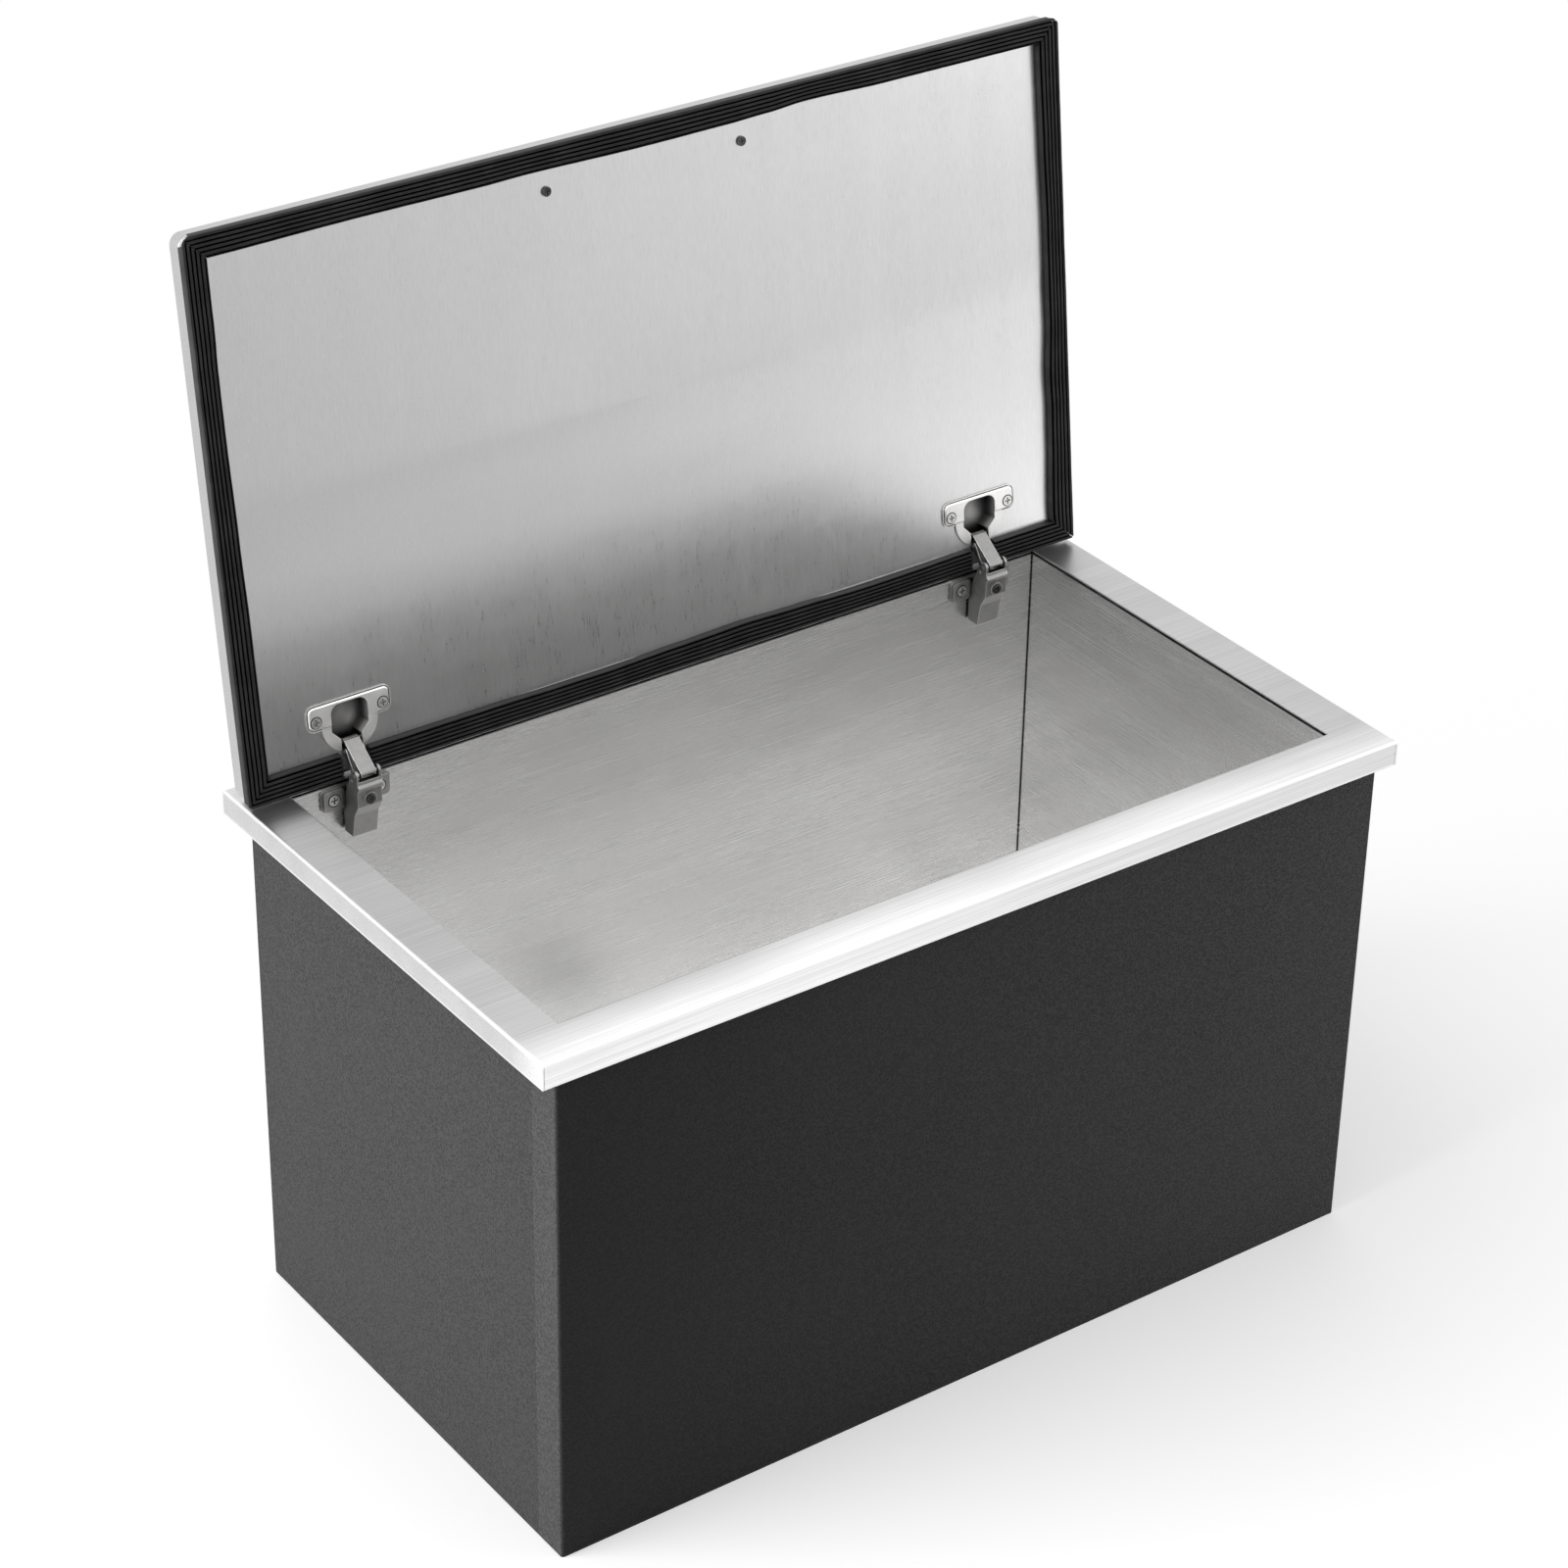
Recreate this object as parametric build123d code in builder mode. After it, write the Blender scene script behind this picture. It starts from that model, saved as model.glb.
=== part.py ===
from build123d import *
import math
import os

os.makedirs("parts", exist_ok=True)

# Drop in ice bin with an insulated tub and a lid on two concealed cup hinges.
# The origin is the centre of the jacket's base, +Z is up, +X runs along the width
# and +Y points to the hinged side. The lid stands open at rest.

# Overall sizes
rim_width = 650.0
rim_depth = 366.7
total_height = 370.0
sheet = 1.2
lip_height = 17.0
lip_bend = 2.0
lip_seam = 0.4
overrun = 2.0
fit_gap = 0.3

# How far the jacket stands in from the rim's edge
jacket_side_inset = 12.0
jacket_front_inset = 5.0
jacket_back_inset = 12.2
jacket_edge_radius = 2.0

# Width of the rim's top on each side of the opening
margin_side = 31.0
margin_front = 32.0
margin_back = 29.5

# Tub floor and drain
floor_height = 46.0
floor_radius = 12.0
dish_radius = 46.0
dish_depth = 2.5
drain_flange_radius = 38.0
drain_flange_height = 2.2
drain_tail_radius = 20.0
drain_bore_radius = 16.0
drain_tail_base = 3.0
drain_spigot_radius = 18.0
drain_spigot_height = 21.0
drain_seat_radius = 25.0
drain_seat_depth = 1.6
drain_washer_radius = 33.0
drain_washer_height = 3.0
drain_nut_flats = 58.0
drain_nut_height = 10.0
drain_gap = 0.3
strainer_height = 1.2
strainer_slot_width = 3.6
strainer_slot_length = 13.0
strainer_slot_centre = 14.5
strainer_slots = 10

# Lid, measured from its hinge edge and from the face of its gasket
lid_lean = 7.12
lid_edge_forward = 36.0
lid_edge_lift = 3.0
gasket_thickness = 5.5
gasket_width = 16.5
gasket_side_bulge = 0.9
gasket_front_bulge = 4.3
gasket_hinge_gap = 20.0
gasket_mitre_gap = 0.4
pan_back_inset = 1.5
pan_thickness = 13.0
pan_corner_radius = 7.5
pan_fold = 1.2
pan_return = 14.0
core_gap = 0.3
panel_screw_gap = 0.3

# Handle on the outer face of the lid
handle_spacing = 146.0
handle_inset = 28.7
handle_rise = 34.0
handle_bar_width = 12.0
handle_bar_thickness = 10.0
handle_screw_radius = 2.0
handle_screw_head_radius = 3.2
handle_screw_head_height = 1.2
handle_screw_grip = 12.0

# Hinge cup and its wings in the inner panel
hinge_inset = 77.5
cup_setback = 35.4
cup_radius = 17.5
cup_wall = 1.0
cup_depth = 11.0
cup_nose_half_width = 8.0
cup_nose_setback = 17.4
cup_nose_wall = 1.0
cup_nose_step = 1.8
cup_flange_radius = 20.0
cup_flange_height = 1.2
wing_width = 60.0
wing_height = 17.5
wing_setback = 43.7
wing_rise = 2.0
wing_radius = 5.0
wing_bevel = 0.8
arch_width = 26.5
arch_top_setback = 49.7
arch_radius = 6.5
throat_width = 15.0
throat_shoulder_setback = 31.5
throat_neck_setback = 25.5
cup_screw_spacing = 48.0
cup_screw_setback = 41.4
cup_screw_recess_radius = 4.2
cup_screw_recess_depth = 1.1
cup_screw_head_radius = 3.5
cup_screw_head_height = 1.4
cup_screw_radius = 1.8
cup_screw_length = 11.0

# Outer link, the broad strap between cup and arm
cup_pin_setback = 21.5
cup_pin_depth = 7.5
cup_pin_radius = 1.2
arm_pin_forward = 45.5
arm_pin_lift = 9.5
arm_pin_radius = 1.4
pin_gap = 0.08
strap_width = 10.8
strap_wall = 1.2
strap_rise = 3.0
strap_cup_eye_radius = 2.5
strap_arm_eye_radius = 2.8
strap_waist = 1.15
strap_waist_end = 11.0
strap_web_start = 0.8
strap_web_setback = 2.6

# Inner link, two plates beside the strap on a sleeve; its eye in the cup is left unpinned
inner_pin_forward = 42.0
inner_pin_lift = 4.4
inner_pin_radius = 1.1
inner_plate = 0.8
inner_side_gap = 0.3
inner_sleeve_radius = 1.9
inner_half_height = 1.8
inner_reach = 18.6
inner_eye_radius = 0.9
inner_open_angle = 54.0

# Hinge arm, a channel that stands off the tub's back wall
arm_width = 17.5
arm_wall = 1.5
arm_eye_radius = 3.3
arm_back_forward = 38.6
arm_shoulder_lift = 2.0
arm_nape_lift = 6.5
arm_top_step_lift = 5.6
arm_brow_forward = 48.7
arm_step_forward = 49.2
arm_step_lift = 3.6
arm_ridge_forward = 50.8
arm_ridge_top_lift = 2.4
arm_ridge_base_lift = 0.6
arm_hollow_forward = 48.9
arm_hollow_lift = -1.0
arm_face_forward = 48.7
arm_face_base_lift = -12.5
arm_knee_forward = 43.9
arm_knee_lift = -20.7
arm_foot_forward = 41.0
arm_foot_lift = -37.0
arm_boss_radius = 4.6
arm_boss_rise = 1.0
arm_boss_lift = -7.6
arm_screw_head_radius = 3.0
arm_screw_head_height = 1.3
arm_screw_radius = 1.6

# Mounting plate on the tub's back wall
plate_width = 50.0
plate_height = 16.0
plate_thickness = 1.6
plate_radius = 3.0
plate_lift = -12.0
pad_size = 14.6
pad_rise = 3.4
pad_spacing = 33.0
pad_radius = 3.0
pad_recess_radius = 4.7
pad_recess_depth = 1.5
rail_width = 13.6
rail_rise = 3.0
plate_screw_head_radius = 3.8
plate_screw_head_height = 1.6
plate_screw_radius = 2.0
plate_screw_length = 13.0

# Cross recess of a screw head, as shares of the head
cross_width_share = 0.28
cross_length_share = 1.3
cross_depth_share = 0.6

# Gasket profile: rib edges across the width and groove depths, both as shares
rib_edge_shares = [0.2, 0.36, 0.52, 0.69, 0.87, 1.0]
groove_depth_shares = [0.2, 0.2, 0.2, 0.36, 0.2, 0.24]
rib_crown_share = 0.03
gasket_cheek_share = 0.4

# Places that follow from the sizes
hinge_x = rim_width / 2 - hinge_inset
handle_setback = rim_depth - handle_inset
jacket_width = rim_width - 2 * jacket_side_inset
jacket_depth = rim_depth - jacket_front_inset - jacket_back_inset
rim_front_y = -jacket_depth / 2 - jacket_front_inset
rim_back_y = jacket_depth / 2 + jacket_back_inset
rim_centre_y = (rim_front_y + rim_back_y) / 2
rim_underside = total_height - sheet
tub_width = rim_width - 2 * margin_side
tub_front_y = rim_front_y + margin_front
tub_back_y = rim_back_y - margin_back
tub_depth = tub_back_y - tub_front_y
tub_centre_y = (tub_front_y + tub_back_y) / 2
tub_outer_half_width = tub_width / 2 + sheet
floor_underside = floor_height - sheet
dish_top = floor_height - dish_depth
dish_underside = dish_top - sheet
washer_base = dish_underside - drain_washer_height
nut_base = washer_base - drain_nut_height
pan_back = gasket_thickness + pan_thickness
pan_length = rim_depth - pan_back_inset
pan_centre = pan_back_inset + pan_length / 2
panel_width = rim_width - 2 * pan_return
panel_length = pan_length - 2 * pan_return
gasket_half_width = rim_width / 2 + gasket_side_bulge
gasket_length = rim_depth + gasket_front_bulge
inner_plate_x = strap_width / 2 + inner_side_gap
arm_inner_half = arm_width / 2 - arm_wall
cup_throat_half = cup_nose_half_width - cup_nose_wall

# The lid's face plane: X across, Y from the hinge edge to the free edge, Z out of the gasket
lean = math.radians(lid_lean)
lid_origin = (0, rim_back_y - lid_edge_forward, total_height + lid_edge_lift)
lid_face = Plane(origin=lid_origin, x_dir=(1, 0, 0), z_dir=(0, -math.cos(lean), math.sin(lean)))
lid_out = Axis(lid_origin, (0, -math.cos(lean), math.sin(lean)))


def lid_at(depth):
    return lid_face.offset(-depth)


def lid_side(x):
    """Plane across the lid at x: its X runs up the lid, its Y into the lid."""
    return Plane(
        origin=(x, lid_origin[1], lid_origin[2]),
        x_dir=(0, math.sin(lean), math.cos(lean)),
        z_dir=(-1, 0, 0),
    )


def rim_side(x):
    """Plane across the rim at x: its X runs forward from the rim's back edge, its Y up."""
    return Plane(origin=(x, rim_back_y, total_height), x_dir=(0, -1, 0), z_dir=(-1, 0, 0))


def wall_at(x, rise):
    """Plane on the tub's back wall at x, facing into the tub, rise in front of the wall."""
    return Plane(origin=(x, tub_back_y - rise, total_height), x_dir=(1, 0, 0), z_dir=(0, -1, 0))


def lid_point(setback, depth):
    """A point of the open lid, as distance forward of the rim's back edge and height above the rim."""
    forward = lid_edge_forward - setback * math.sin(lean) - depth * math.cos(lean)
    lift = lid_edge_lift + setback * math.cos(lean) - depth * math.sin(lean)
    return forward, lift


def link_plane(x, start, end):
    """Plane across the rim at x whose X runs from start to end and whose Y is the side in view."""
    along = Vector(0, start[0] - end[0], end[1] - start[1])
    return Plane(
        origin=(x, rim_back_y - start[0], total_height + start[1]),
        x_dir=along,
        z_dir=(-1, 0, 0),
    )


def save(builder, name):
    builder.part.label = name
    export_step(builder.part, "parts/" + name + ".step")


# Tub liner, one deep tray of sheet with a coved floor
def tub_block(width, depth, base, radius):
    with BuildPart() as block:
        with BuildSketch(Plane(origin=(0, tub_centre_y, base))):
            Rectangle(width, depth)
        extrude(amount=rim_underside - base)
        fillet(block.faces().sort_by(Axis.Z)[0].edges(), radius=radius)
    return block.part


tub_outside = tub_block(tub_width + 2 * sheet, tub_depth + 2 * sheet, floor_underside, floor_radius + sheet)
tub_inside = tub_block(tub_width, tub_depth, floor_height, floor_radius)

with BuildPart() as tub_liner:
    add(tub_outside)
    with BuildSketch(Plane(origin=(0, tub_centre_y, dish_underside))):
        Circle(dish_radius + sheet)
    extrude(amount=dish_depth)
    add(tub_inside, mode=Mode.SUBTRACT)
    with BuildSketch(Plane(origin=(0, tub_centre_y, dish_top))):
        Circle(dish_radius)
    extrude(amount=dish_depth + overrun, mode=Mode.SUBTRACT)
    with BuildSketch(Plane(origin=(0, tub_centre_y, dish_underside))):
        Circle(drain_tail_radius + drain_gap)
    extrude(amount=sheet + overrun, mode=Mode.SUBTRACT)
    for side in (-1, 1):
        with BuildSketch(wall_at(side * hinge_x, 0)):
            with Locations((0, plate_lift)):
                with GridLocations(pad_spacing, 0, 2, 1):
                    Circle(plate_screw_radius + fit_gap)
        extrude(amount=-sheet - overrun, mode=Mode.SUBTRACT)
save(tub_liner, "tub_liner")


# Rim, a flat frame with a turned down lip whose corners are butted
with BuildPart() as rim_flange:
    with BuildSketch(Plane(origin=(0, rim_centre_y, total_height - lip_height))):
        Rectangle(rim_width, rim_depth)
    extrude(amount=lip_height)
    fillet(rim_flange.faces().sort_by(Axis.Z)[-1].edges(), radius=lip_bend)
    with BuildSketch(Plane(origin=(0, rim_centre_y, total_height - lip_height))):
        Rectangle(rim_width - 2 * sheet, rim_depth - 2 * sheet)
    extrude(amount=lip_height - sheet, mode=Mode.SUBTRACT)
    with BuildSketch(Plane(origin=(0, tub_centre_y, rim_underside))):
        Rectangle(tub_width, tub_depth)
    extrude(amount=sheet, mode=Mode.SUBTRACT)
    with BuildSketch(Plane(origin=(0, rim_centre_y, total_height - lip_height))):
        with GridLocations(rim_width - 2 * sheet - lip_seam, rim_depth - sheet, 2, 2):
            Rectangle(lip_seam, sheet)
    extrude(amount=lip_height - lip_bend, mode=Mode.SUBTRACT)
save(rim_flange, "rim_flange")


# Insulating jacket, one board on each side and one under the floor
jacket_front_thickness = tub_front_y - sheet + jacket_depth / 2
jacket_back_thickness = jacket_depth / 2 - tub_back_y - sheet
jacket_side_thickness = jacket_width / 2 - tub_outer_half_width
side_board_depth = tub_depth + 2 * sheet


def long_board(name, centre_y, thickness, outer_side):
    with BuildPart() as board:
        with BuildSketch(Plane(origin=(0, centre_y, 0))):
            Rectangle(jacket_width, thickness)
        extrude(amount=rim_underside)
        outer = board.edges().filter_by(Axis.Z).group_by(Axis.Y)[outer_side]
        fillet(outer, radius=jacket_edge_radius)
        if outer_side == -1:
            for side in (-1, 1):
                with BuildSketch(wall_at(side * hinge_x, -sheet)):
                    with Locations((0, plate_lift)):
                        with GridLocations(pad_spacing, 0, 2, 1):
                            Circle(plate_screw_radius + fit_gap)
                extrude(amount=-plate_screw_length, mode=Mode.SUBTRACT)
    save(board, name)


long_board("jacket_front", tub_front_y - sheet - jacket_front_thickness / 2, jacket_front_thickness, 0)
long_board("jacket_rear", tub_back_y + sheet + jacket_back_thickness / 2, jacket_back_thickness, -1)

for side, name in ((-1, "jacket_left"), (1, "jacket_right")):
    centre_x = side * (tub_outer_half_width + jacket_side_thickness / 2)
    with BuildPart() as side_board:
        with BuildSketch(Plane(origin=(centre_x, tub_centre_y, 0))):
            Rectangle(jacket_side_thickness, side_board_depth)
        extrude(amount=rim_underside)
    save(side_board, name)

with BuildPart() as jacket_bottom:
    with BuildSketch(Plane(origin=(0, tub_centre_y, 0))):
        Rectangle(2 * tub_outer_half_width, side_board_depth)
    extrude(amount=floor_underside)
    with BuildSketch(Plane(origin=(0, tub_centre_y, 0))):
        Circle(dish_radius + sheet + fit_gap)
    extrude(amount=floor_underside, mode=Mode.SUBTRACT)
save(jacket_bottom, "jacket_bottom")


# Drain: flanged body, strainer, washer and locknut
with BuildPart() as drain_body:
    with BuildSketch(Plane(origin=(0, tub_centre_y, dish_top))):
        Circle(drain_flange_radius)
    extrude(amount=drain_flange_height)
    chamfer(drain_body.faces().sort_by(Axis.Z)[-1].edges(), length=drain_flange_height / 2)
    with BuildSketch(Plane(origin=(0, tub_centre_y, drain_tail_base))):
        Circle(drain_spigot_radius)
    extrude(amount=drain_spigot_height)
    with BuildSketch(Plane(origin=(0, tub_centre_y, drain_tail_base + drain_spigot_height))):
        Circle(drain_tail_radius)
    extrude(amount=dish_top - drain_tail_base - drain_spigot_height)
    with BuildSketch(Plane(origin=(0, tub_centre_y, drain_tail_base))):
        Circle(drain_bore_radius)
    extrude(amount=dish_top + drain_flange_height - drain_tail_base, mode=Mode.SUBTRACT)
    with BuildSketch(Plane(origin=(0, tub_centre_y, dish_top + drain_flange_height - drain_seat_depth))):
        Circle(drain_seat_radius)
    extrude(amount=drain_seat_depth, mode=Mode.SUBTRACT)
save(drain_body, "drain_body")

with BuildPart() as drain_strainer:
    with BuildSketch(Plane(origin=(0, tub_centre_y, dish_top + drain_flange_height - drain_seat_depth))):
        Circle(drain_seat_radius - drain_gap)
        with PolarLocations(strainer_slot_centre, strainer_slots):
            Rectangle(strainer_slot_length, strainer_slot_width, mode=Mode.SUBTRACT)
    extrude(amount=strainer_height)
save(drain_strainer, "drain_strainer")

with BuildPart() as drain_washer:
    with BuildSketch(Plane(origin=(0, tub_centre_y, washer_base))):
        Circle(drain_washer_radius)
        Circle(drain_tail_radius + drain_gap, mode=Mode.SUBTRACT)
    extrude(amount=drain_washer_height)
save(drain_washer, "drain_washer")

with BuildPart() as drain_locknut:
    with BuildSketch(Plane(origin=(0, tub_centre_y, nut_base))):
        RegularPolygon(radius=drain_nut_flats / 2, side_count=6, major_radius=False)
        Circle(drain_tail_radius + drain_gap, mode=Mode.SUBTRACT)
    extrude(amount=drain_nut_height)
save(drain_locknut, "drain_locknut")


# Lid pan, a folded tray of sheet with a return under the gasket
with BuildPart() as lid_pan:
    with BuildSketch(lid_at(pan_back)):
        with Locations((0, pan_centre)):
            RectangleRounded(rim_width, pan_length, pan_corner_radius)
    extrude(amount=pan_thickness)
    chamfer(lid_pan.faces().sort_by(lid_out)[-1].edges(), length=pan_fold)
    chamfer(lid_pan.faces().sort_by(lid_out)[0].edges(), length=pan_fold)
    with BuildSketch(lid_at(pan_back - sheet)):
        with Locations((0, pan_centre)):
            RectangleRounded(rim_width - 2 * sheet, pan_length - 2 * sheet, pan_corner_radius - sheet)
    extrude(amount=pan_thickness - 2 * sheet, mode=Mode.SUBTRACT)
    with BuildSketch(lid_at(gasket_thickness + sheet)):
        with Locations((0, pan_centre)):
            Rectangle(panel_width, panel_length)
    extrude(amount=sheet + overrun, mode=Mode.SUBTRACT)
    with BuildSketch(lid_at(pan_back - sheet - overrun)):
        with Locations((0, handle_setback)):
            with GridLocations(handle_spacing, 0, 2, 1):
                Circle(handle_screw_radius + panel_screw_gap)
    extrude(amount=-sheet - 2 * overrun, mode=Mode.SUBTRACT)
save(lid_pan, "lid_pan")


def cup_holes(depth_from, spread):
    """Outline of both cup holes, with their noses, at a depth below the gasket face."""
    with BuildSketch(lid_at(depth_from)) as holes:
        for side in (-1, 1):
            with Locations((side * hinge_x, cup_setback)):
                Circle(cup_radius + spread)
            nose_length = cup_setback - cup_nose_setback + spread
            with Locations((side * hinge_x, cup_setback - nose_length / 2)):
                Rectangle(2 * (cup_nose_half_width + spread), nose_length)
    return holes.sketch


def small_holes(depth_from):
    """Outline of the clearance holes of the cup screws and the handle screws."""
    with BuildSketch(lid_at(depth_from)) as holes:
        for side in (-1, 1):
            with Locations((side * hinge_x, cup_screw_setback)):
                with GridLocations(cup_screw_spacing, 0, 2, 1):
                    Circle(cup_screw_radius + panel_screw_gap)
        with Locations((0, handle_setback)):
            with GridLocations(handle_spacing, 0, 2, 1):
                Circle(handle_screw_radius + panel_screw_gap)
    return holes.sketch


core_face = gasket_thickness + sheet
core_back = pan_back - sheet

# Inner panel, flush in the pan's return
with BuildPart() as lid_inner_panel:
    with BuildSketch(lid_at(gasket_thickness + sheet)):
        with Locations((0, pan_centre)):
            Rectangle(panel_width, panel_length)
    extrude(amount=sheet)
    extrude(cup_holes(core_face + overrun, 0), amount=sheet + 2 * overrun, mode=Mode.SUBTRACT)
    extrude(small_holes(core_face + overrun), amount=sheet + 2 * overrun, mode=Mode.SUBTRACT)
save(lid_inner_panel, "lid_inner_panel")

# Foam core between pan and panel
with BuildPart() as lid_core:
    with BuildSketch(lid_at(core_back)):
        with Locations((0, pan_centre)):
            core_width = rim_width - 2 * sheet - 2 * core_gap
            core_length = pan_length - 2 * sheet - 2 * core_gap
            RectangleRounded(core_width, core_length, pan_corner_radius - sheet)
    extrude(amount=core_back - core_face)
    pocket = cup_holes(gasket_thickness + cup_depth + fit_gap, fit_gap)
    extrude(pocket, amount=cup_depth + overrun, mode=Mode.SUBTRACT)
    extrude(small_holes(core_back + overrun), amount=core_back - core_face + 2 * overrun, mode=Mode.SUBTRACT)
save(lid_core, "lid_core")


# Gasket strips with a ribbed face, mitred at the corners
def gasket_strip(name, profile_plane, length, outline):
    """One strip, drawn from its outer edge inwards and trimmed to its mitred outline."""
    edges = [share * gasket_width for share in rib_edge_shares]
    grooves = [gasket_thickness * (1 - share) for share in groove_depth_shares]
    crown = gasket_thickness * (1 - rib_crown_share)
    cheek = gasket_thickness * gasket_cheek_share
    with BuildPart() as strip:
        with BuildSketch(profile_plane):
            with BuildLine():
                Polyline((0, 0), (0, cheek), (edges[0], grooves[0]))
                for i in range(len(edges) - 1):
                    middle = (edges[i] + edges[i + 1]) / 2
                    ThreePointArc((edges[i], grooves[i]), (middle, crown), (edges[i + 1], grooves[i + 1]))
                Polyline((edges[-1], grooves[-1]), (gasket_width, 0), (0, 0))
            make_face()
        extrude(amount=length)
        with BuildSketch(lid_at(gasket_thickness)):
            Polygon(*outline, align=None)
        extrude(amount=gasket_thickness, mode=Mode.INTERSECT)
    save(strip, name)


def lid_world(x, setback, depth):
    return lid_at(depth).from_local_coords((x, setback, 0))


up_lid = Vector(0, math.sin(lean), math.cos(lean))
half = gasket_half_width
inner_half = gasket_half_width - gasket_width
far = gasket_length
near_inner = gasket_width
far_inner = gasket_length - gasket_width
mitre = gasket_mitre_gap / 2

left_profile = Plane(origin=lid_world(-half, far, gasket_thickness), x_dir=(1, 0, 0), z_dir=-up_lid)
right_profile = Plane(origin=lid_world(half, 0, gasket_thickness), x_dir=(-1, 0, 0), z_dir=up_lid)
front_profile = Plane(origin=lid_world(half, far, gasket_thickness), x_dir=-up_lid, z_dir=(-1, 0, 0))
back_profile = Plane(origin=lid_world(-half, 0, gasket_thickness), x_dir=up_lid, z_dir=(1, 0, 0))

for side, name, plane in ((-1, "gasket_left", left_profile), (1, "gasket_right", right_profile)):
    corners = [
        (side * half, mitre),
        (side * inner_half, near_inner + mitre),
        (side * inner_half, far_inner - mitre),
        (side * half, far - mitre),
    ]
    gasket_strip(name, plane, far, corners)

front_corners = [
    (-half + mitre, far),
    (-inner_half + mitre, far_inner),
    (inner_half - mitre, far_inner),
    (half - mitre, far),
]
gasket_strip("gasket_front", front_profile, 2 * half, front_corners)

hinge_cut_outer = hinge_x + gasket_hinge_gap / 2
hinge_cut_inner = hinge_x - gasket_hinge_gap / 2
for side, name in ((-1, "gasket_back_left"), (1, "gasket_back_right")):
    corners = [
        (side * (half - mitre), 0),
        (side * hinge_cut_outer, 0),
        (side * hinge_cut_outer, near_inner),
        (side * (inner_half - mitre), near_inner),
    ]
    gasket_strip(name, back_profile, 2 * half, corners)

middle_corners = [
    (-hinge_cut_inner, 0),
    (hinge_cut_inner, 0),
    (hinge_cut_inner, near_inner),
    (-hinge_cut_inner, near_inner),
]
gasket_strip("gasket_back_middle", back_profile, 2 * half, middle_corners)


# Screws with a flat head and a cross recess; the head's seat is at the plane
def drive_screw(plane, head_radius, head_height, shank_radius, shank_length):
    with BuildPart() as screw:
        with BuildSketch(plane):
            Circle(head_radius)
        extrude(amount=head_height)
        with BuildSketch(plane):
            Circle(shank_radius)
        extrude(amount=-shank_length)
        with BuildSketch(plane.offset(head_height)):
            Rectangle(head_radius * cross_length_share, head_radius * cross_width_share)
            Rectangle(head_radius * cross_width_share, head_radius * cross_length_share)
        extrude(amount=-head_height * cross_depth_share, mode=Mode.SUBTRACT)
    return screw.part


# Bar handle of square bar, mitred at both corners and tapped at both ends
def make_handle():
    post = handle_rise - handle_bar_thickness / 2
    start = lid_world(-handle_spacing / 2, handle_setback, pan_back)
    out = Vector(0, math.cos(lean), -math.sin(lean))
    across = Vector(handle_spacing, 0, 0)
    with BuildPart() as handle:
        with BuildLine():
            Polyline(start, start + out * post, start + out * post + across, start + across)
        with BuildSketch(Plane(origin=start, x_dir=(1, 0, 0), z_dir=out)):
            Rectangle(handle_bar_thickness, handle_bar_width)
        sweep(transition=Transition.RIGHT)
        for side in (-1, 1):
            foot = Plane(origin=lid_world(side * handle_spacing / 2, handle_setback, pan_back), x_dir=(1, 0, 0), z_dir=out)
            with BuildSketch(foot):
                Circle(handle_screw_radius + pin_gap)
            extrude(amount=handle_screw_grip, mode=Mode.SUBTRACT)
    save(handle, "lid_handle")


make_handle()

handle_screw_length = pan_back - gasket_thickness + handle_screw_grip - fit_gap
with BuildPart() as handle_screws:
    for side in (-1, 1):
        seat = Plane(
            origin=lid_world(side * handle_spacing / 2, handle_setback, gasket_thickness),
            x_dir=(1, 0, 0),
            z_dir=lid_face.z_dir,
        )
        add(
            drive_screw(
                seat,
                handle_screw_head_radius,
                handle_screw_head_height,
                handle_screw_radius,
                handle_screw_length,
            )
        )
save(handle_screws, "handle_screws")


# Hinge cup: drawn cup, flange with two lobes, raised wings with an arched opening
def mouth_sketch(x, depth_from):
    """The opening seen in the wings: an arch that narrows to a throat towards the hinge edge."""
    with BuildSketch(lid_at(depth_from)) as mouth:
        with BuildLine():
            Polyline(
                (x - throat_width / 2, 0),
                (x - throat_width / 2, throat_neck_setback),
                (x - arch_width / 2, throat_shoulder_setback),
                (x - arch_width / 2, arch_top_setback - arch_radius),
            )
            RadiusArc(
                (x - arch_width / 2, arch_top_setback - arch_radius),
                (x - arch_width / 2 + arch_radius, arch_top_setback),
                arch_radius,
            )
            Line(
                (x - arch_width / 2 + arch_radius, arch_top_setback),
                (x + arch_width / 2 - arch_radius, arch_top_setback),
            )
            RadiusArc(
                (x + arch_width / 2 - arch_radius, arch_top_setback),
                (x + arch_width / 2, arch_top_setback - arch_radius),
                arch_radius,
            )
            Polyline(
                (x + arch_width / 2, arch_top_setback - arch_radius),
                (x + arch_width / 2, throat_shoulder_setback),
                (x + throat_width / 2, throat_neck_setback),
                (x + throat_width / 2, 0),
                (x - throat_width / 2, 0),
            )
        make_face()
    return mouth.sketch


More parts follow.
